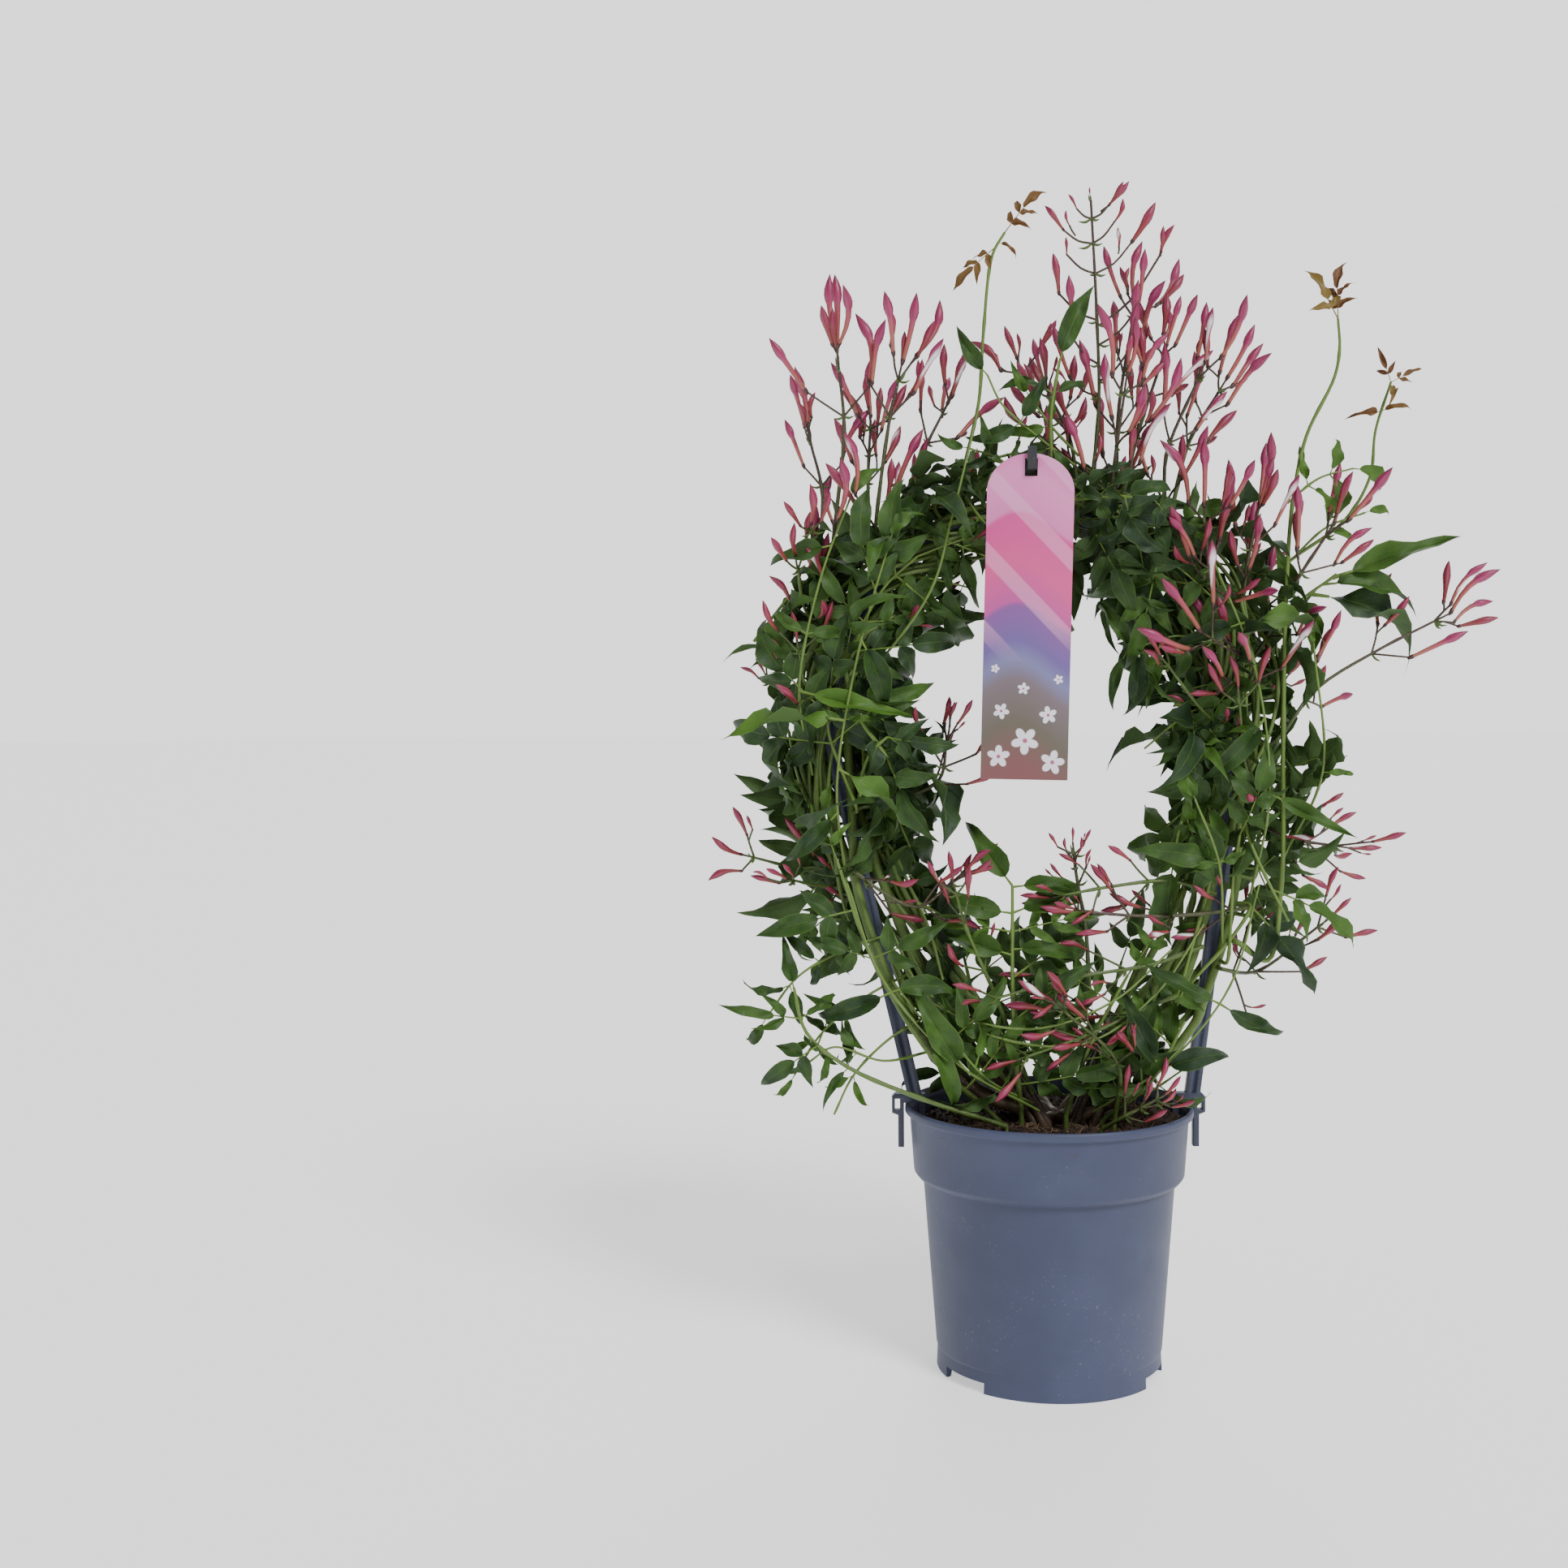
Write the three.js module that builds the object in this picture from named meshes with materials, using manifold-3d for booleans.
// A pink jasmine in its nursery pot, trained on a plastic hoop: pot, peat, hoop, hanging tag,
// stems that twine round the hoop, leafy shoots, sprays of buds and young runners.
// Millimetres, +Z up, the front along -Y, the origin at the centre of the pot's foot.
import * as THREE from 'three';
import { mergeVertices } from 'three/addons/utils/BufferGeometryUtils.js';
import Module from 'manifold-3d';

const wasm = await Module();
wasm.setup();

// ---- driving dimensions ----
const CLEARANCE = 0.35; // between pieces that touch on the real plant
const FINEST = 0.02; // slivers below this are merged away
const WALL = 1.2; // the pot's wall
const POT = {
  height: 111.2, rim: 60, bead: 3.5, collar: 29.8, collarFoot: 56.3, body: 52.5, seam: 46.8, foot: 47,
};
const SEAM_HEIGHT = 9.8;
const PAD_RADIUS = 16; // the flat middle of the pot's underside, level with its foot
const CHANNEL_HEIGHT = 3; // the raised ring round it, with the drain holes
const DRAINS = { count: 6, radius: 4, ring: 32 };
const NOTCHES = { angles: [-55, 65, 185], width: 24, height: 4.5 }; // in the foot, degrees from the front

const SOIL_LEVEL = 103.5;
const SOIL_RINGS = [18, 38, 54]; // of its lumpy top
const SOIL_SIDES = 16;
const HOLE_GAP = 1; // round each stem in the peat
const ROOT_DEPTH = 14; // of each stem, straight down

const HOOP = { radius: 85, width: 6, depth: 4.6, groove: 1.1 };
const HOOP_CENTRE = new THREE.Vector3(-5, 0, 272);
const LEAN_LEFT = THREE.MathUtils.degToRad(13);
const LEAN_RIGHT = THREE.MathUtils.degToRad(7.4);
const LEG_FOOT = 114; // where the legs meet their clips

const TAG = {
  width: 34.5, height: 129, corner: 15, thickness: 0.8, slotWidth: 5, slotHeight: 7, slotDrop: 2,
};
const TAG_TOP = new THREE.Vector3(-10.4, -38, 377.5);
const TAG_TILT = THREE.MathUtils.degToRad(1.5);
const HOOK = { width: 3.6, thickness: 1.2 };

const TWINE_RADIUS = 6.6; // from the hoop's centre line to a twining stem's
const TURNS = 3; // of each stem, foot to foot
const SEAT_DEPTHS = [1.5, 1.2, 0.9, 0.6, 0.3, 0]; // how far in a side stem's foot may sit
const OPENING = { from: [-28, -30, 236], to: [28, 32, 304] }; // the clear middle of the wreath

const COLOURS = {
  pot: 0x5d6880, soil: 0x2e1d14, hoop: 0x4d5566, tag: 0xd46aa8, hook: 0x3a3d44,
  stem: 0x3f6b2c, leaf: 0x24502a, youngLeaf: 0x6f7f35, bud: 0xc63a70,
};

// ---- small helpers ----
const V = (x, y, z) => new THREE.Vector3(x, y, z);
const UP = V(0, 0, 1);
const FRONT = V(0, -1, 0);
const { degToRad, lerp, clamp } = THREE.MathUtils;

/** A repeatable stream of numbers from 0 to 1. */
function seeded(seed) {
  let state = seed | 0;
  return () => {
    state = (state + 0x6d2b79f5) | 0;
    let t = Math.imul(state ^ (state >>> 15), 1 | state);
    t = (t + Math.imul(t ^ (t >>> 7), 61 | t)) ^ t;
    return ((t ^ (t >>> 14)) >>> 0) / 4294967296;
  };
}

/** A closed geometry as a solid that can be joined and cut. */
function solid(geometry) {
  const bare = geometry.clone();
  bare.deleteAttribute('normal');
  bare.deleteAttribute('uv');
  const merged = mergeVertices(bare, 1e-4);
  const vertProperties = new Float32Array(merged.attributes.position.array);
  const triVerts = new Uint32Array(merged.index.array);
  return new wasm.Manifold(new wasm.Mesh({ numProp: 3, vertProperties, triVerts }));
}

/** Vertices and triangles as a geometry. */
function meshGeometry(positions, triangles) {
  const geometry = new THREE.BufferGeometry();
  geometry.setAttribute('position', new THREE.BufferAttribute(new Float32Array(positions), 3));
  geometry.setIndex(triangles);
  return geometry;
}

const pieces = []; // every piece of the plant, in the order it is made

/** Adds a piece; its organs, if any, are solids that are joined to it later where there is room. */
function addPiece(name, body, colour, roughness, organs = []) {
  const piece = { name, body, colour, roughness, organs, box: boxOf(body) };
  const crossed = blockers(body, piece).map((other) => other.name);
  if (crossed.length > 0) throw new Error(`${name} crosses ${crossed.join(', ')}`);
  pieces.push(piece);
}

function boxOf(body) {
  const { min, max } = body.boundingBox();
  return new THREE.Box3(V(...min), V(...max)).expandByScalar(CLEARANCE);
}

/** The other pieces that a solid touches or comes too near. */
function blockers(body, own) {
  const box = boxOf(body);
  return pieces.filter((other) => other !== own && box.intersectsBox(other.box)
    && body.minGap(other.body, CLEARANCE) < CLEARANCE);
}

/** The largest body of a solid, without loose scraps and sealed hollows. */
function oneBody(body) {
  return body.decompose().sort((a, b) => b.volume() - a.volume())[0];
}

/**
 * Joins organs to their pieces, one to each piece in turn. Each is a list of solids to try:
 * the first where it has room, otherwise those of the others that have.
 */
function growOrgans() {
  const join = (piece, organ) => {
    if (blockers(organ, piece).length > 0) return false;
    piece.body = oneBody(piece.body.add(organ));
    piece.box = boxOf(piece.body);
    return true;
  };
  const longest = Math.max(...pieces.map((piece) => piece.organs.length));
  for (let i = 0; i < longest; i++) {
    for (const piece of pieces) {
      const [whole, ...halves] = piece.organs[i] ?? [];
      if (whole && !join(piece, whole)) halves.forEach((half) => join(piece, half));
    }
  }
}

/** A piece as a named mesh with its own material. */
function meshOf({ name, body, colour, roughness }) {
  const { vertProperties, triVerts } = oneBody(body.simplify(FINEST)).getMesh();
  const geometry = meshGeometry(vertProperties, [...triVerts]).toNonIndexed();
  geometry.computeVertexNormals();
  const mesh = new THREE.Mesh(geometry, new THREE.MeshStandardMaterial({ color: colour, roughness }));
  mesh.name = name;
  return mesh;
}

/** A closed tube through points, with a radius at each; a radius of 0 ends it in a point. */
function sweep(points, radii, sides) {
  const positions = [];
  const rings = [];
  let side = null;
  points.forEach((point, i) => {
    const ahead = points[Math.min(i + 1, points.length - 1)];
    const behind = points[Math.max(i - 1, 0)];
    const tangent = ahead.clone().sub(behind).normalize();
    side ??= Math.abs(tangent.z) < 0.9 ? UP.clone() : V(1, 0, 0);
    side.addScaledVector(tangent, -side.dot(tangent)).normalize();
    const other = tangent.clone().cross(side);
    const corners = radii[i] === 0 ? 1 : sides;
    const ring = [];
    for (let k = 0; k < sides; k++) {
      if (k < corners) {
        const angle = (2 * Math.PI * k) / sides;
        const corner = point.clone().addScaledVector(side, Math.cos(angle) * radii[i]);
        corner.addScaledVector(other, Math.sin(angle) * radii[i]);
        positions.push(...corner);
      }
      ring.push(positions.length / 3 - 1);
    }
    rings.push(ring);
  });
  const triangles = [];
  const face = (a, b, c) => {
    if (a !== b && b !== c && c !== a) triangles.push(a, b, c);
  };
  for (let i = 0; i + 1 < rings.length; i++) {
    for (let k = 0; k < sides; k++) {
      const next = (k + 1) % sides;
      face(rings[i][k], rings[i][next], rings[i + 1][next]);
      face(rings[i][k], rings[i + 1][next], rings[i + 1][k]);
    }
  }
  for (let k = 1; k + 1 < sides; k++) {
    face(rings[0][0], rings[0][k + 1], rings[0][k]);
    face(rings.at(-1)[0], rings.at(-1)[k], rings.at(-1)[k + 1]);
  }
  return solid(meshGeometry(positions, triangles));
}

const smooth = (points) => new THREE.CatmullRomCurve3(points, false, 'centripetal');

/** The direction of a curve at t. */
function heading(curve, t) {
  const ahead = curve.getPoint(Math.min(t + 0.01, 1));
  return ahead.sub(curve.getPoint(Math.max(t - 0.01, 0))).normalize();
}

/** A stem along a curve, through its points at `stops`, tapered, with a foot below it if it has one. */
function stem(curve, stops, { thick, thin, sides, foot }) {
  const points = stops.map((t) => curve.getPoint(t));
  const radii = stops.map((t) => lerp(thick, thin, t));
  return foot ? sweep([foot, ...points], [thick, ...radii], sides) : sweep(points, radii, sides);
}

/** A curve and its stem, the foot as near the vine that carries it as the clearance allows. */
function seated(line, stops, form) {
  const inward = line[0].clone().sub(line[1]).normalize();
  let made = null;
  for (const depth of form.foot ? [0] : SEAT_DEPTHS) {
    const curve = smooth([line[0].clone().addScaledVector(inward, depth), ...line.slice(1)]);
    made = { curve, body: stem(curve, stops, form) };
    if (blockers(made.body).length === 0) break;
  }
  return made;
}

/** `count` even steps up a stem, from 0 to `from`. */
const lead = (count, from) => Array.from({ length: count }, (_, i) => (from * i) / count);

// ---- pot ----
function makePot() {
  const collarZ = POT.height - POT.collar;
  const beadZ = POT.height - POT.bead;
  const floorZ = CHANNEL_HEIGHT + 1.6;
  const outline = [
    [0, 0], [PAD_RADIUS, 0], [PAD_RADIUS + 1, CHANNEL_HEIGHT], [POT.foot - 3, CHANNEL_HEIGHT],
    [POT.foot - 2.4, 0], [POT.foot, 0], [POT.seam - 0.4, SEAM_HEIGHT - 0.4], [POT.seam, SEAM_HEIGHT],
    [POT.body, collarZ - 1], [POT.body + 2.2, collarZ - 0.3], [POT.collarFoot, collarZ + 1.6],
    [POT.rim - 2, beadZ], [POT.rim, beadZ + 0.4], [POT.rim - 0.4, POT.height],
    [POT.rim - 1.6, POT.height], [POT.rim - 2 - WALL, beadZ],
    [POT.collarFoot - WALL, collarZ + 2], [POT.body - WALL, collarZ], [POT.seam - WALL, floorZ + 4],
    [POT.seam - 4, floorZ], [0, floorZ],
  ];
  const shell = solid(new THREE.LatheGeometry(outline.map(([r, z]) => new THREE.Vector2(r, z)), 26));
  let pot = shell.rotate([90, 0, 0]);
  for (let i = 0; i < DRAINS.count; i++) {
    const angle = (2 * Math.PI * (i + 0.5)) / DRAINS.count;
    const drain = new THREE.CylinderGeometry(DRAINS.radius, DRAINS.radius, 20, 6).rotateX(Math.PI / 2);
    drain.translate(DRAINS.ring * Math.cos(angle), DRAINS.ring * Math.sin(angle), CHANNEL_HEIGHT);
    pot = pot.subtract(solid(drain));
  }
  for (const degrees of NOTCHES.angles) {
    const notch = new THREE.BoxGeometry(NOTCHES.width, 12, 2 * NOTCHES.height);
    notch.translate(0, -POT.foot, 0).rotateZ(degToRad(degrees));
    pot = pot.subtract(solid(notch));
  }
  return pot;
}

// ---- hoop ----
const tangentHeight = (lean) => HOOP_CENTRE.z - HOOP.radius * Math.sin(lean);
const LEFT_LEG = (tangentHeight(LEAN_LEFT) - LEG_FOOT) / Math.cos(LEAN_LEFT);
const RIGHT_LEG = (tangentHeight(LEAN_RIGHT) - LEG_FOOT) / Math.cos(LEAN_RIGHT);
const HOOP_ARC = HOOP.radius * (Math.PI + LEAN_LEFT + LEAN_RIGHT);
const HOOP_LENGTH = LEFT_LEG + HOOP_ARC + RIGHT_LEG;

/** The hoop's centre line, its direction and its outward side at u, 0 at the left foot to 1 at the right. */
function hoopFrame(u) {
  const travelled = u * HOOP_LENGTH - LEFT_LEG;
  const onArc = clamp(travelled, 0, HOOP_ARC);
  const angle = Math.PI + LEAN_LEFT - onArc / HOOP.radius;
  const out = V(Math.cos(angle), 0, Math.sin(angle));
  const along = V(Math.sin(angle), 0, -Math.cos(angle));
  const point = HOOP_CENTRE.clone().addScaledVector(out, HOOP.radius);
  point.addScaledVector(along, travelled - onArc);
  return { point, along, out };
}

/** A point round the hoop: angle 0 is outward, 90 in front, 180 inward, 270 behind. */
function roundHoop(u, degrees, radius) {
  const { point, out } = hoopFrame(u);
  const angle = degToRad(degrees);
  point.addScaledVector(out, Math.cos(angle) * radius);
  return point.addScaledVector(FRONT, Math.sin(angle) * radius);
}

/** The clip at one foot: a prong inside the pot, a saddle over its rim and a tongue with a catch outside. */
function makeClip(side) {
  const inner = POT.rim - 8.4;
  const tongue = POT.rim + 0.5;
  const saddle = POT.height + 0.5;
  const outline = [
    [inner + 0.4, 84], [inner + 2.4, 84], [inner + 2.8, saddle], [tongue, saddle], [tongue, 93],
    [tongue + 2.4, 93], [tongue + 2.4, 106.5], [tongue + 5, 107.5], [tongue + 5, 114],
    [tongue + 3.6, 115.6], [inner, 115.6],
  ];
  const shape = new THREE.Shape(outline.map(([x, z]) => new THREE.Vector2(x, z)));
  const slot = [[1.6, 108.6], [1.6, 113.4], [3.8, 113.4], [3.8, 108.6]];
  shape.holes.push(new THREE.Path(slot.map(([x, z]) => new THREE.Vector2(tongue + x, z))));
  const clip = new THREE.ExtrudeGeometry(shape, { depth: HOOP.depth, bevelEnabled: false });
  const body = solid(clip).translate([0, 0, -HOOP.depth / 2]).rotate([90, 0, 0]);
  return side > 0 ? body : body.mirror([1, 0, 0]);
}

function makeHoop() {
  const steps = 34;
  const [w, d, g] = [HOOP.width / 2, HOOP.depth / 2, HOOP.groove];
  const section = [[-w, -d], [-g, -d], [0, -d + g], [g, -d], [w, -d], [w, d], [-w, d]];
  const positions = [];
  for (let i = 0; i <= steps; i++) {
    const { point, out } = hoopFrame(i / steps);
    for (const [x, y] of section) positions.push(point.x + out.x * x, y, point.z + out.z * x);
  }
  const triangles = [];
  const n = section.length;
  for (let i = 0; i < steps; i++) {
    for (let k = 0; k < n; k++) {
      const [a, b] = [i * n + k, i * n + ((k + 1) % n)];
      triangles.push(a, b + n, b, a, a + n, b + n);
    }
  }
  const cap = THREE.ShapeUtils.triangulateShape(section.map(([x, y]) => new THREE.Vector2(x, y)), []);
  for (const [a, b, c] of cap) triangles.push(a, b, c, steps * n + a, steps * n + c, steps * n + b);
  return solid(meshGeometry(positions, triangles)).add(makeClip(-1)).add(makeClip(1));
}

// ---- tag and its hook ----
function makeTag() {
  const { width, height, corner, thickness } = TAG;
  const shape = new THREE.Shape();
  shape.moveTo(-width / 2, -height);
  shape.lineTo(width / 2, -height);
  shape.lineTo(width / 2, -corner);
  shape.absellipse(0, -corner, width / 2, corner, 0, Math.PI, false);
  shape.closePath();
  const [left, right] = [-TAG.slotWidth / 2, TAG.slotWidth / 2];
  const [low, high] = [-TAG.slotDrop - TAG.slotHeight, -TAG.slotDrop];
  shape.holes.push(new THREE.Path([[left, low], [left, high], [right, high], [right, low]]
    .map(([x, z]) => new THREE.Vector2(x, z))));
  const card = new THREE.ExtrudeGeometry(shape, { depth: thickness, bevelEnabled: false, curveSegments: 8 });
  card.rotateX(Math.PI / 2).rotateY(TAG_TILT).translate(...TAG_TOP);
  return solid(card);
}

/** A strap laid over the hoop's top and its stems that reaches forward, through the slot, and turns up. */
function makeHook() {
  const back = TWINE_RADIUS + VINE_JOIN + CLEARANCE;
  const top = HOOP_CENTRE.z + HOOP.radius + back;
  const slot = TAG_TOP.z - TAG.slotDrop - TAG.slotHeight / 2;
  const t = HOOK.thickness;
  const outline = [
    [back + t, top - 9], [back + t, top + t], [-back, top + t], [TAG_TOP.y + 5, slot - 1 + t],
    [TAG_TOP.y - 2.4, slot - 1 + t], [TAG_TOP.y - 2.6, TAG_TOP.z + 2.6], [TAG_TOP.y - 3.4, TAG_TOP.z + 2.6],
    [TAG_TOP.y - 3.8, slot - 1], [TAG_TOP.y + 5, slot - 1], [-back, top], [back, top], [back, top - 9],
  ];
  const shape = new THREE.Shape(outline.map(([y, z]) => new THREE.Vector2(y, z)));
  const strap = new THREE.ExtrudeGeometry(shape, { depth: HOOK.width, bevelEnabled: false });
  strap.rotateX(Math.PI / 2).rotateZ(Math.PI / 2);
  strap.translate(TAG_TOP.x - HOOK.width / 2, 0, 0);
  return solid(strap);
}

// ---- twining stems ----
// Each rises from its own hole in the peat and joins the hoop at u = join, then twines on to u = end.
const VINES = [
  { name: 'vine_left_low', phase: 120, join: 0.056, end: 0.74, rise: [V(-7, 9, 107), V(-30, 8, 117)] },
  {
    name: 'vine_left_inner', phase: 0, join: 0.167, end: 0.62,
    rise: [V(-5, 2, 108), V(-24, 1, 125), V(-50, 0, 163)],
  },
  {
    name: 'vine_left_front', phase: 240, join: 0.167, end: 0.68,
    rise: [V(-6, -8, 108), V(-33, -14, 120), V(-62, -14, 155)],
  },
  { name: 'vine_right_low', phase: 180, join: 0.944, end: 0.3, rise: [V(12, -9, 107), V(34, -12, 119)] },
  {
    name: 'vine_right_front', phase: 300, join: 0.833, end: 0.26,
    rise: [V(14, 0, 108), V(34, -3, 125), V(57, -6, 167)],
  },
  {
    name: 'vine_right_back', phase: 60, join: 0.833, end: 0.38,
    rise: [V(12, 9, 107), V(34, 10, 121), V(57, 7, 163)],
  },
];
const VINE_STEP = 0.034;
const VINE_FOOT = 2.5;
const VINE_JOIN = 1.9;
const VINE_TIP = 1.1;

const vineAngle = (vine, u) => vine.phase + 360 * TURNS * u;

/** How thick a vine is at u, where it has joined the hoop; 0 where it isn't there. */
function vineRadius(vine, u) {
  const along = (u - vine.join) / (vine.end - vine.join);
  return along < 0 || along > 0.97 ? 0 : lerp(VINE_JOIN, VINE_TIP, along);
}

/** The foot of a stem that comes out of the peat at a point. */
const rootOf = (point) => V(point.x, point.y, SOIL_LEVEL - ROOT_DEPTH);

/** The centre line of a vine and its radius at each point. */
function vineLine(vine) {
  const steps = Math.round(Math.abs(vine.end - vine.join) / VINE_STEP);
  const twine = [];
  for (let i = 0; i <= steps; i++) {
    const u = lerp(vine.join, vine.end, i / steps);
    twine.push(roundHoop(u, vineAngle(vine, u), TWINE_RADIUS));
  }
  const rise = smooth([...vine.rise, twine[0], twine[1]]);
  const riseSteps = 2 * vine.rise.length;
  const risen = vine.rise.length / (vine.rise.length + 1);
  const points = [rootOf(vine.rise[0])];
  for (let i = 0; i < riseSteps; i++) points.push(rise.getPoint((risen * i) / riseSteps));
  const radii = points.map((_, i) => lerp(VINE_FOOT, VINE_JOIN, i / (riseSteps + 1)));
  twine.forEach((point, i) => {
    points.push(point);
    radii.push(lerp(VINE_JOIN, VINE_TIP, i / steps));
  });
  return { points, radii };
}

/** The vine at u whose place round the hoop is nearest to an angle, and the point just off its skin. */
function carrier(u, degrees) {
  const off = (vine) => Math.abs(((vineAngle(vine, u) - degrees + 540) % 360) - 180);
  const near = VINES.filter((vine) => vineRadius(vine, u) > 0).sort((a, b) => off(a) - off(b))[0];
  const turn = ((vineAngle(near, u) - degrees + 540) % 360) - 180;
  return { degrees: degrees + turn, radius: TWINE_RADIUS + vineRadius(near, u) + CLEARANCE + 0.05 };
}

/** The first two points of a side stem: just off the vine nearest to an angle, and straight out from it. */
function stub(u, degrees) {
  const root = carrier(u, degrees);
  return [0, 5].map((out) => roundHoop(u, root.degrees, root.radius + out));
}

// ---- leaves ----
/**
 * One pinnate leaf along +X with its face up: a rib whose pairs of side leaflets and long end leaflet
 * share its edges, so that the whole leaf is one closed skin, waved and curled.
 */
function leafGeometry({ size, pairs, drawn, curl, wave }) {
  const rib = 0.62;
  const half = 0.45;
  const foot = 0.08 * size;
  const spacing = 0.36 * size;
  const petiole = pairs > 0 ? 0.26 * size : 0.14 * size;
  const stations = [{ x: 0, leaflet: false }];
  for (let i = pairs - drawn; i < pairs; i++) {
    stations.push({ x: petiole + i * spacing, leaflet: true });
    stations.push({ x: petiole + i * spacing + foot, leaflet: false });
  }
  const blade = petiole + Math.max(pairs - 1, 0) * spacing + (pairs > 0 ? foot + 0.15 * size : 0);
  stations.push({ x: blade, leaflet: false });

  const vertices = [];
  const vertex = (x, y, z) => vertices.push([x, y, z]) - 1;
  for (const station of stations) {
    station.spine = { 1: vertex(station.x, 0, rib), [-1]: vertex(station.x, 0, -rib) };
    station.edge = { 1: vertex(station.x, rib, 0), [-1]: vertex(station.x, -rib, 0) };
  }
  const width = 0.17 * size;
  const tip = vertex(blade + size, 0, -0.06 * size);
  const middles = [0.3, 0.66].map((t) => ({
    1: vertex(blade + t * size, 0, half),
    [-1]: vertex(blade + t * size, 0, -half),
  }));

  const triangles = [];
  /** A fan over a loop of vertices, its face up on the left side and mirrored elsewhere. */
  const fan = (flip, hub, loop) => {
    for (let i = 0; i + 1 < loop.length; i++) {
      triangles.push(hub, ...(flip > 0 ? [loop[i], loop[i + 1]] : [loop[i + 1], loop[i]]));
    }
  };
  for (const side of [1, -1]) {
    for (let k = 0; k + 1 < stations.length; k++) {
      const [near, far] = [stations[k], stations[k + 1]];
      const leaflet = near.leaflet ? sideLeaflet(vertex, near.x + foot / 2, side, size, wave, half) : null;
      for (const up of [1, -1]) {
        const base = [near.spine[up], far.spine[up], far.edge[side]];
        if (leaflet) {
          const loop = [...base, leaflet.fore, leaflet.tip, leaflet.aft, near.edge[side], near.spine[up]];
          fan(side * up, leaflet.middle[up], loop);
        } else fan(side * up, base[0], [base[1], base[2], near.edge[side]]);
      }
    }
    const end = stations.at(-1);
    const wide = vertex(blade + 0.3 * size, side * width, side * wave);
    const narrow = vertex(blade + 0.66 * size, side * width * 0.72, -side * wave);
    for (const up of [1, -1]) {
      const [first, second] = [middles[0][up], middles[1][up]];
      fan(side * up, end.spine[up], [first, wide, end.edge[side]]);
      fan(side * up, first, [second, narrow, wide]);
      fan(side * up, second, [tip, narrow]);
    }
  }
  const root = stations[0];
  fan(1, root.spine[1], [root.edge[1], root.spine[-1], root.edge[-1]]);

  const bend = curl / (blade + size);
  const positions = vertices.flatMap(([x, y, z]) => {
    const reach = 1 / bend + z - 0.004 * y * y;
    return [Math.sin(bend * x) * reach, y, Math.cos(bend * x) * reach - 1 / bend];
  });
  return meshGeometry(positions, triangles);
}

/** The corners of one side leaflet, which leaves the rib at x. */
function sideLeaflet(vertex, x, side, size, wave, half) {
  const lean = degToRad(62);
  const [forward, sideways] = [Math.cos(lean), Math.sin(lean)];
  const length = 0.58 * size;
  const width = 0.145 * size;
  const at = (reach, across, z) => vertex(
    x + reach * forward + across * sideways, side * (reach * sideways - across * forward), z);
  return {
    middle: { 1: at(0.42 * length, 0, half), [-1]: at(0.42 * length, 0, -half) },
    fore: at(0.4 * length, width, wave),
    aft: at(0.45 * length, -width, -wave),
    tip: at(length, 0, -0.05 * size),
  };
}

/** A leaf as a solid, its root at a point, along a direction, its face towards `face`. */
function leafSolid({ at, direction, face, ...form }) {
  const normal = face.clone().addScaledVector(direction, -face.dot(direction)).normalize();
  const side = normal.clone().cross(direction);
  const pose = new THREE.Matrix4().makeBasis(direction, side, normal).setPosition(at);
  return solid(leafGeometry(form).applyMatrix4(pose));
}

/**
 * The leaves of a shoot: pairs along it and one at its tip. Each has its place, direction, face and
 * size; `keep` marks the ones that are modelled here.
 */
function leavesOn(curve, { count, face, size, seed, stout = 2, from = 0 }) {
  const random = seeded(seed);
  const leaves = [];
  for (let i = 1; i <= count; i++) {
    const t = lerp(from, 1, i / count);
    const along = heading(curve, Math.min(t, 0.98));
    const normal = face.clone().addScaledVector(along, -face.dot(along)).normalize();
    const side = normal.clone().cross(along);
    for (const hand of i < count ? [1, -1] : [0]) {
      const spread = degToRad(lerp(42, 72, random()));
      const lift = lerp(-0.05, 0.5, random());
      const sag = lerp(0.0, 0.45, random());
      const roll = lerp(-0.5, 0.5, random());
      const growth = lerp(0.72, 1.12, random());
      const curl = lerp(0.25, 1.1, random());
      const pairs = random() < 0.68 ? stout : stout - 1;
      const direction = along.clone().multiplyScalar(hand === 0 ? 1 : Math.cos(spread));
      direction.addScaledVector(side, hand * Math.sin(spread)).addScaledVector(normal, lift);
      direction.addScaledVector(UP, -sag).normalize();
      leaves.push({
        at: curve.getPoint(t), direction, face: normal.clone().addScaledVector(side, roll),
        size: size * growth, pairs, curl, wave: 0.05 * size,
        drawn: Math.min(pairs, 1), keep: hand === 0 || (i + (hand > 0)) % 3 === 0,
      });
    }
  }
  return leaves;
}

/** A leafy shoot along a curve, with a foot in the peat if it has one. */
function addShoot(name, line, { thick = 1.1, colour = COLOURS.leaf, foot, steps = 1, from = 0, ...options }) {
  const nodes = lead(options.count, 1 - from).map((t) => from + t);
  const stops = [...lead(from > 0 ? steps : 0, from), ...nodes, 1];
  const { curve, body } = seated(line, stops, { thick, thin: 0.6, sides: 4, foot });
  const leaves = leavesOn(curve, { ...options, from }).filter((leaf) => leaf.keep).reverse();
  addPiece(name, body, colour, 0.5, leaves.map((leaf) => [leafSolid(leaf)]));
}

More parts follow.
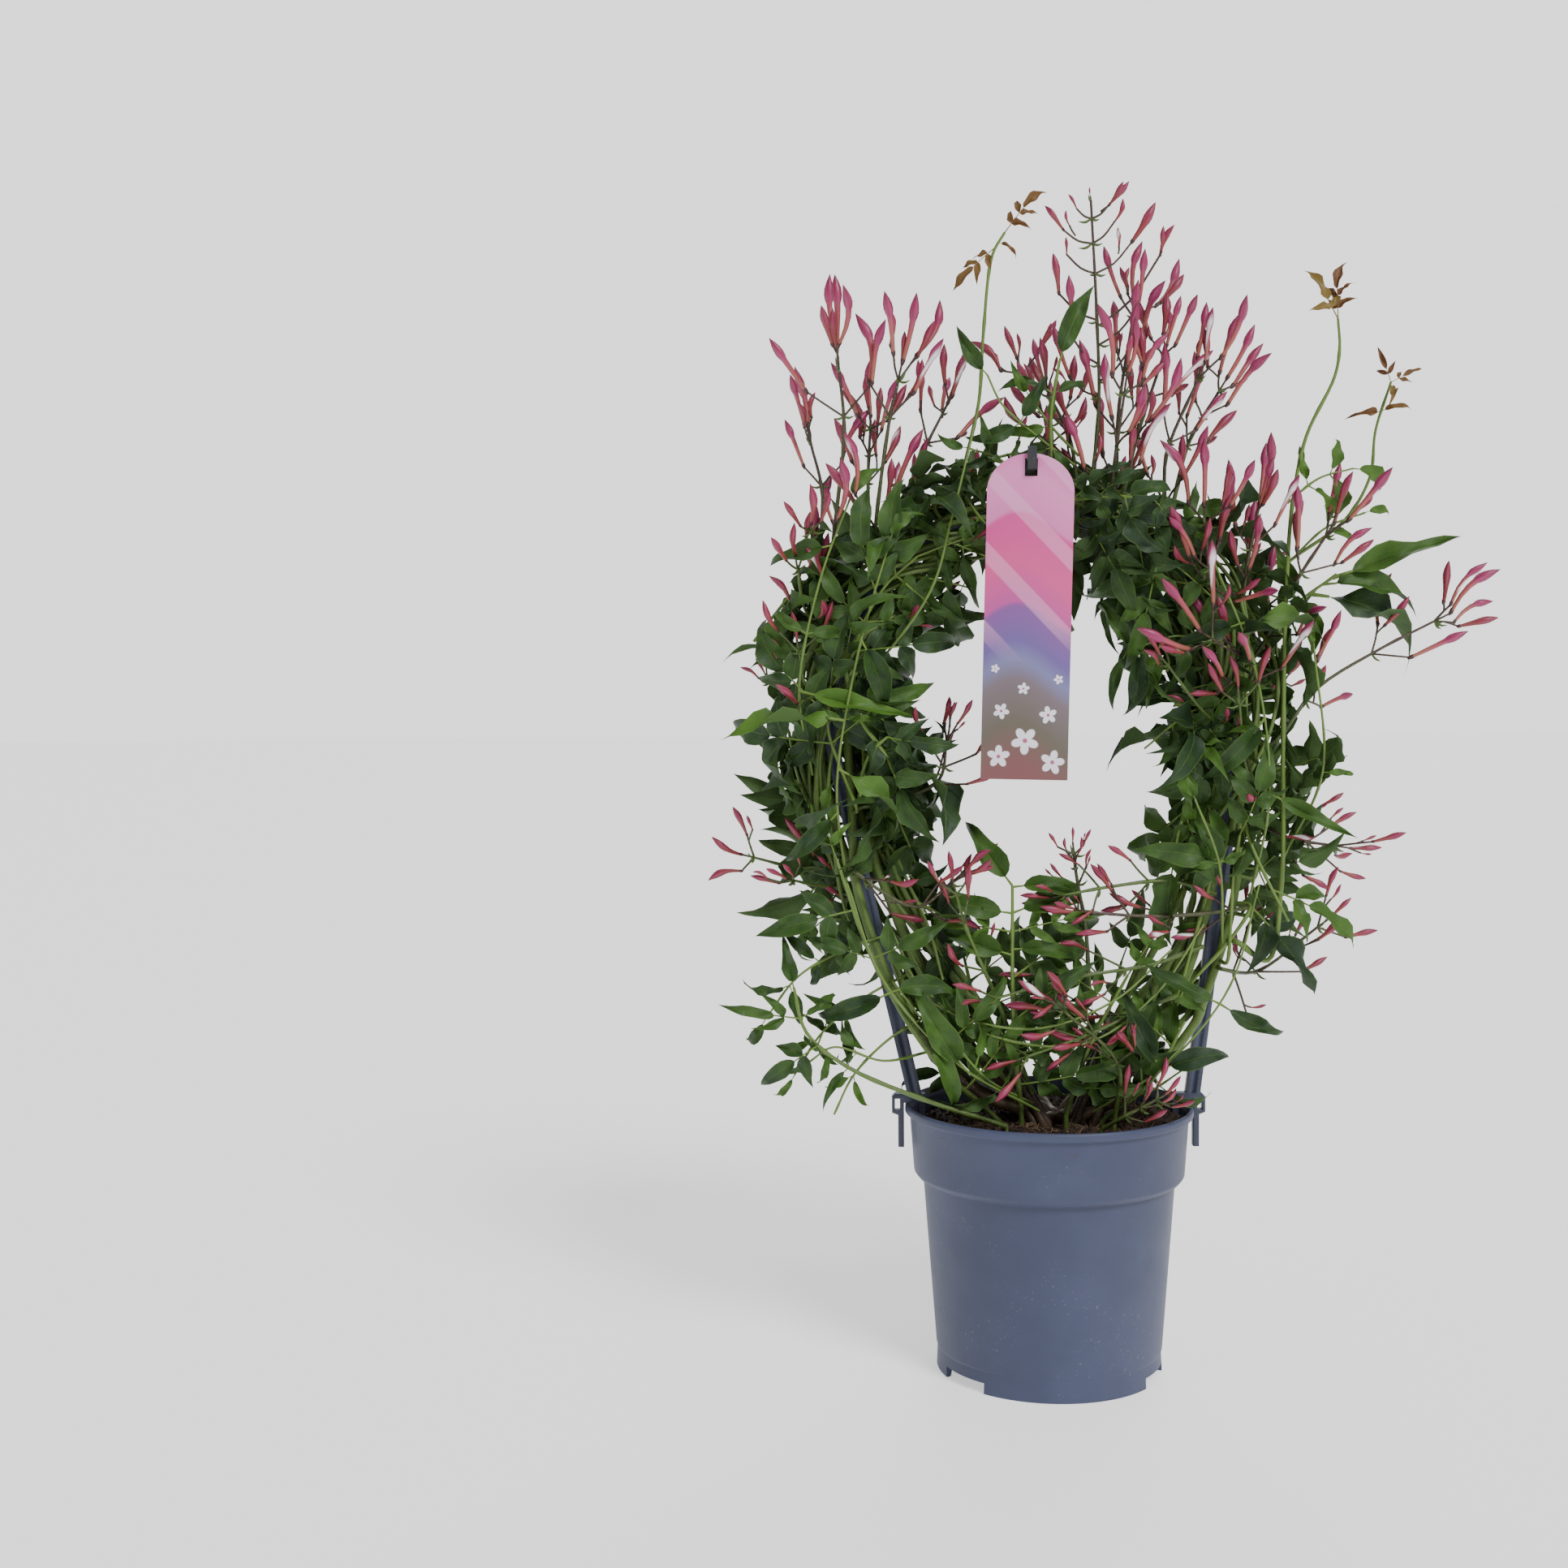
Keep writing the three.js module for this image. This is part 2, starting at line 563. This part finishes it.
// ---- buds ----
/**
 * The buds of a spray: opposite branches up its axis, each with an end bud and perhaps a side bud,
 * and a cluster at the tip. Each has its root on the axis, its calyx, direction and length.
 */
function budsOn(curve, { nodes, reach, rise, size, seed, from = 0.4 }) {
  const random = seeded(seed);
  const buds = [];
  const turn = 180 * random();
  for (let i = 0; i < nodes; i++) {
    const t = lerp(from, 1, i / (nodes - 1));
    const along = heading(curve, Math.min(t, 0.98));
    const side = V(1, 0, 0).addScaledVector(along, -along.x).normalize();
    side.applyAxisAngle(along, degToRad(turn + 90 * i));
    for (const hand of i < nodes - 1 ? [1, -1] : [1, -1, 0]) {
      const spread = degToRad(lerp(28, 55, random()));
      const length = reach * lerp(0.7, 1.15, random()) * (1 - 0.45 * t) * (hand === 0 ? 0.6 : 1);
      const direction = along.clone().multiplyScalar(hand === 0 ? 1 : Math.cos(spread));
      direction.addScaledVector(side, hand * Math.sin(spread)).normalize();
      const wander = V(random() - 0.5, random() - 0.5, random() - 0.5).multiplyScalar(0.35);
      const lean = direction.clone().addScaledVector(rise, 0.8).add(wander).normalize();
      const root = curve.getPoint(t);
      buds.push({
        root, calyx: root.clone().addScaledVector(direction, length), direction: lean,
        length: size * lerp(0.8, 1.08, random()), pair: hand === 0 ? nodes : i,
      });
    }
  }
  return buds;
}

/** The points of a bud from its tip to its calyx. */
function budPoints({ calyx, direction, length }) {
  return [1, 0.64, 0].map((t) => calyx.clone().addScaledVector(direction, t * length));
}

const BUD_RADII = [0, 2.1, 0.85];
const BUD_SIDES = 3;
const SPRAY_FOOT = 0.95; // the radius of a spray's axis where it starts

const budSolid = (bud) => sweep([...budPoints(bud), bud.root], [...BUD_RADII, 0.55], BUD_SIDES);

/** Two buds across the axis as one solid, and as two. */
function budPair([one, other]) {
  if (!other) return [budSolid(one)];
  const points = [...budPoints(one), one.root, ...budPoints(other).reverse()];
  const pair = sweep(points, [...BUD_RADII, 0.55, ...[...BUD_RADII].reverse()], BUD_SIDES);
  return [pair, budSolid(one), budSolid(other)];
}

/** A spray of buds along a curve. */
function addSpray(name, line, { foot, ...options }) {
  const { from, nodes } = options;
  const stops = [...lead(2, from), ...lead(nodes - 1, 1 - from).map((t) => from + t), 1];
  const { curve, body } = seated(line, stops, { thick: SPRAY_FOOT, thin: 0.55, sides: 3, foot });
  const pairs = Object.values(Object.groupBy(budsOn(curve, options), (bud) => bud.pair)).reverse();
  addPiece(name, body, COLOURS.bud, 0.45, pairs.map(budPair));
}

// ---- the sprays ----
// Each leaves the vine at u nearest to the angle and runs through its points to its tip.
const SPRAYS = [
  { name: 'top_left_outer', u: 0.352, angle: 20, through: [V(-84, -10, 392), V(-86, -12, 416)], seed: 11 },
  { name: 'top_left', u: 0.385, angle: 60, through: [V(-66, -14, 392), V(-62, -18, 410)], seed: 12 },
  { name: 'top_left_back', u: 0.4, angle: 300, through: [V(-50, 14, 386), V(-42, 18, 402)], seed: 13 },
  { name: 'shoulder_left', u: 0.318, angle: 30, through: [V(-93, 8, 366), V(-98, 12, 390)], seed: 14 },
  {
    name: 'crest', u: 0.535, angle: 20,
    through: [V(19, -4, 400), V(19, -6, 466)], nodes: 4, seed: 15, reach: 17, size: 22,
  },
  { name: 'crest_right', u: 0.56, angle: 330, through: [V(30, 4, 396), V(37, 8, 440)], nodes: 4, seed: 16 },
  { name: 'crest_far', u: 0.585, angle: 30, through: [V(48, -8, 380), V(60, -12, 410)], seed: 17 },
  { name: 'crest_left', u: 0.505, angle: 340, through: [V(3, 10, 390), V(-8, 14, 418)], seed: 18 },
  { name: 'crest_front', u: 0.548, angle: 80, through: [V(25, -22, 378), V(28, -26, 402)], seed: 19 },
  { name: 'shoulder_right', u: 0.63, angle: 80, through: [V(62, -24, 330), V(60, -28, 350)], seed: 20 },
  {
    name: 'shoulder_right_top', u: 0.655, angle: 40,
    through: [V(80, -16, 338), V(82, -20, 352)], seed: 21,
  },
  {
    name: 'shoulder_right_far', u: 0.69, angle: 10,
    through: [V(101, -8, 328), V(112, -12, 346)], seed: 22,
  },
  { name: 'side_right', u: 0.71, angle: 70, through: [V(80, -26, 292), V(62, -32, 304)], seed: 23 },
  {
    name: 'far_right', u: 0.745, angle: 0,
    through: [V(112, 2, 284), V(138, 4, 300), V(162, 6, 312)], seed: 24,
  },
  { name: 'low_right', u: 0.8, angle: 10, through: [V(100, 6, 222), V(122, 10, 218)], seed: 25 },
  { name: 'foot_right', u: 0.905, angle: -20, through: [V(90, 6, 166), V(114, 6, 184)], seed: 26 },
  {
    name: 'inner_right', u: 0.86, angle: 130,
    through: [V(44, -22, 192), V(14, -26, 194)], nodes: 4, seed: 27,
  },
  { name: 'inner_left', u: 0.175, angle: 120, through: [V(-56, -20, 196), V(-42, -24, 206)], seed: 28 },
];

// ---- the leafy shoots along the hoop ----
// Each leaves a vine at u[0] and runs on to u[1] at an angle round the hoop, rising off it.
const SHOOTS = [
  {
    name: 'far_right', u: 0.695, angle: -15,
    through: [V(104, 10, 318), V(122, 8, 332)], face: V(0, -1, 0.3), size: 52, count: 2, seed: 29,
  },
  {
    name: 'crest', u: 0.512, angle: 50,
    through: [V(0, -16, 396), V(3, -18, 416)], face: V(0.3, -1, 0.2), size: 24, count: 4, seed: 30,
  },
  { name: 'front_2', u: [0.21, 0.3], angle: 85, seed: 32 },
  { name: 'front_3', u: [0.32, 0.41], angle: 95, seed: 33 },
  { name: 'front_4', u: [0.53, 0.61], angle: 95, seed: 34 },
  { name: 'front_5', u: [0.69, 0.78], angle: 100, seed: 35 },
  { name: 'front_6', u: [0.9, 0.81], angle: 85, seed: 36 },
  { name: 'outer_1', u: [0.19, 0.27], angle: -5, seed: 41 },
  { name: 'outer_2', u: [0.3, 0.38], angle: -50, seed: 42 },
  { name: 'outer_3', u: [0.415, 0.48], angle: -20, seed: 43 },
  { name: 'outer_4', u: [0.6, 0.68], angle: -20, seed: 44 },
  { name: 'outer_5', u: [0.82, 0.75], angle: -25, seed: 45 },
  { name: 'back_1', u: [0.17, 0.26], angle: -85, seed: 51 },
  { name: 'back_2', u: [0.31, 0.39], angle: -90, seed: 52 },
  { name: 'back_3', u: [0.46, 0.55], angle: -95, seed: 53 },
  { name: 'back_4', u: [0.72, 0.63], angle: -90, seed: 54 },
  { name: 'back_5', u: [0.84, 0.76], angle: -85, seed: 55 },
];

/** The line of a shoot along the hoop: out from its vine, then round to its own angle and along. */
function alongHoop({ u, angle }) {
  const root = carrier(u[0], angle);
  const points = stub(u[0], angle);
  for (let i = 1; i <= 3; i++) {
    const t = i / 3;
    const degrees = lerp(root.degrees, angle, Math.min(1, 1.5 * t));
    points.push(roundHoop(lerp(u[0], u[1], t), degrees, lerp(14.5, 18, t)));
  }
  return points;
}

/** The outward direction round the hoop at an angle, the way that leaves there face. */
function facing(u, degrees) {
  return roundHoop(u, degrees, 1).sub(hoopFrame(u).point);
}

// ---- the low shoots, each in its own hole in the peat ----
const LOW_FOOT = 1.3; // the radius of a low shoot where it starts
const LOW_SHOOTS = [
  {
    name: 'low_left',
    points: [V(-20, -26, 107), V(-52, -32, 126), V(-82, -30, 140), V(-110, -26, 146)],
    face: V(0, -0.6, 1), size: 22, count: 6, seed: 61,
  },
  {
    name: 'low_left_front',
    points: [V(-22, -16, 107), V(-50, -22, 135), V(-74, -20, 175), V(-88, -18, 215)],
    face: V(-0.2, -1, 0.2), size: 30, count: 6, seed: 31,
  },
  {
    name: 'low_upright',
    points: [V(-13, -18, 110), V(-17, -26, 150), V(-17, -24, 205)],
    face: V(0, -1, 0.2), size: 33, count: 6, seed: 62,
  },
  {
    name: 'low_centre',
    points: [V(5, -20, 110), V(14, -26, 140), V(30, -22, 168)],
    face: V(0, -1, 0.4), size: 30, count: 5, seed: 63,
  },
  {
    name: 'low_right',
    points: [V(20, -20, 108), V(38, -30, 126), V(52, -28, 150)],
    face: V(0, -1, 0.5), size: 30, count: 5, seed: 64,
  },
  {
    name: 'low_back_left',
    points: [V(-14, 16, 108), V(-26, 22, 140), V(-34, 20, 172)],
    face: V(-0.2, 1, 0.4), size: 28, count: 5, seed: 65,
  },
  {
    name: 'low_back_right',
    points: [V(16, 18, 108), V(26, 22, 136), V(34, 20, 168)],
    face: V(0.2, 1, 0.4), size: 28, count: 5, seed: 66,
  },
];

// ---- sprays that stand in the peat ----
const LOW_SPRAYS = [
  {
    name: 'low_front',
    points: [V(24, -24, 107), V(24, -34, 134), V(2, -38, 156)],
    rise: V(-1, 0, 0.15), reach: 16, nodes: 3, seed: 81,
  },
  {
    name: 'soil',
    points: [V(18, -32, 107), V(26, -40, 114), V(38, -42, 121)],
    rise: V(0.2, -0.2, 1), reach: 12, size: 15, nodes: 3, seed: 82,
  },
];

// ---- runners ----
const RUNNERS = [
  {
    name: 'runner_left', u: 0.455, angle: 40,
    through: [V(-29, -12, 402), V(-27, -12, 430), V(-23, -10, 464), V(-7, -10, 484)], seed: 71,
  },
  {
    name: 'runner_right', u: 0.885, angle: 10,
    through: [V(90, -8, 172), V(95, -10, 205), V(95, -10, 262), V(96, -10, 310), V(102, -10, 362),
      V(113, -10, 408), V(121, -10, 446)], seed: 72,
  },
  {
    name: 'runner_far', u: 0.665, angle: 350,
    through: [V(100, 6, 338), V(124, 6, 357), V(136, 4, 394), V(138, 4, 420)], seed: 73,
  },
];

/** Peat with a lumpy top, higher at the right, with a plain hole for each stem and clip. */
function makeSoil(holes) {
  const floor = CHANNEL_HEIGHT + 1.6 + CLEARANCE + 0.05;
  const collarZ = POT.height - POT.collar;
  const random = seeded(5);
  const positions = [];
  const ring = (radius, height) => {
    for (let k = 0; k < SOIL_SIDES; k++) {
      const angle = (2 * Math.PI * k) / SOIL_SIDES;
      const [x, y] = [radius * Math.cos(angle), radius * Math.sin(angle)];
      positions.push(x, y, height(x, y));
    }
  };
  const top = (x, y) => SOIL_LEVEL + 1.6 * random() + 5 * Math.exp(-((x - 44) ** 2 + (y + 6) ** 2) / 260);
  const gap = WALL + 2 * CLEARANCE;
  positions.push(0, 0, floor);
  ring(POT.seam - 5, () => floor);
  ring(POT.seam - gap, () => floor + 6);
  ring(POT.body - gap, () => collarZ + 0.5);
  ring(POT.collarFoot - gap, () => collarZ + 5);
  for (const radius of [...SOIL_RINGS].reverse()) ring(radius, top);
  positions.push(0, 0, SOIL_LEVEL + 1.5);
  const rings = 4 + SOIL_RINGS.length;
  const last = positions.length / 3 - 1;
  const triangles = [];
  for (let k = 0; k < SOIL_SIDES; k++) {
    const next = (k + 1) % SOIL_SIDES;
    triangles.push(0, 1 + next, 1 + k);
    for (let i = 0; i + 1 < rings; i++) {
      const [a, b] = [1 + i * SOIL_SIDES + k, 1 + i * SOIL_SIDES + next];
      triangles.push(a, b, b + SOIL_SIDES, a, b + SOIL_SIDES, a + SOIL_SIDES);
    }
    const edge = 1 + (rings - 1) * SOIL_SIDES;
    triangles.push(edge + k, edge + next, last);
  }
  let soil = solid(meshGeometry(positions, triangles));
  for (const { at, radius } of holes) {
    const depth = ROOT_DEPTH + 1;
    const hole = new THREE.CylinderGeometry(radius + HOLE_GAP, radius + HOLE_GAP, 2 * depth, 6);
    hole.rotateX(Math.PI / 2).translate(at.x, at.y, SOIL_LEVEL);
    soil = soil.subtract(solid(hole));
  }
  for (const side of [-1, 1]) {
    const hole = new THREE.BoxGeometry(5, HOOP.depth + 1, 40).translate(side * (POT.rim - 6.9), 0, 103.4);
    soil = soil.subtract(solid(hole));
  }
  return soil;
}

// ---- the whole plant ----
const vines = VINES.map((vine) => ({ name: vine.name, ...vineLine(vine) }));
const holes = [
  ...LOW_SPRAYS.map(({ points }) => ({ at: points[0], radius: SPRAY_FOOT })),
  ...VINES.map(({ rise }) => ({ at: rise[0], radius: VINE_FOOT })),
  ...LOW_SHOOTS.map(({ points }) => ({ at: points[0], radius: LOW_FOOT })),
];

addPiece('pot', makePot(), COLOURS.pot, 0.55);
addPiece('soil', makeSoil(holes), COLOURS.soil, 0.95);
addPiece('hoop', makeHoop(), COLOURS.hoop, 0.5);
addPiece('tag', makeTag(), COLOURS.tag, 0.4);
addPiece('tag_hook', makeHook(), COLOURS.hook, 0.5);
for (const { name, points, radii } of vines) addPiece(name, sweep(points, radii, 4), COLOURS.stem, 0.6);
for (const { name, u, angle, through, seed } of RUNNERS) {
  addShoot(name, [...stub(u, angle), ...through], {
    count: 3, face: FRONT, size: 13, seed, stout: 1, thick: 1.3, colour: COLOURS.youngLeaf,
    from: 0.86, steps: 2 * through.length + 2,
  });
}
for (const { name, u, angle, through, ...form } of SPRAYS) {
  const start = stub(u, angle);
  const rise = through.at(-1).clone().sub(start[0]).normalize().add(V(0, 0, 0.6)).normalize();
  const line = [...start, ...through];
  addSpray(`spray_${name}`, line, { nodes: 3, reach: 22, rise, size: 30, from: 0.45, ...form });
}
for (const { name, u, angle, through, ...form } of SHOOTS) {
  const line = through ? [...stub(u, angle), ...through] : alongHoop({ u, angle });
  const face = through ? form.face : facing((u[0] + u[1]) / 2, angle);
  addShoot(`shoot_${name}`, line, { count: 6, size: 32, ...form, face });
}
for (const { name, points, ...form } of LOW_SHOOTS) {
  addShoot(`shoot_${name}`, points, { thick: LOW_FOOT, foot: rootOf(points[0]), ...form });
}

for (const { name, points, ...form } of LOW_SPRAYS) {
  addSpray(`spray_${name}`, points, { from: 0.5, size: 30, foot: rootOf(points[0]), ...form });
}

const opening = solid(new THREE.BoxGeometry(...OPENING.to.map((to, i) => to - OPENING.from[i]))
  .translate(...OPENING.to.map((to, i) => (to + OPENING.from[i]) / 2)));
const keepClear = { name: 'opening', body: opening, box: boxOf(opening), organs: [] };
pieces.push(keepClear);
growOrgans();

const plant = new THREE.Group();
for (const piece of pieces) if (piece !== keepClear) plant.add(meshOf(piece));

export default plant;
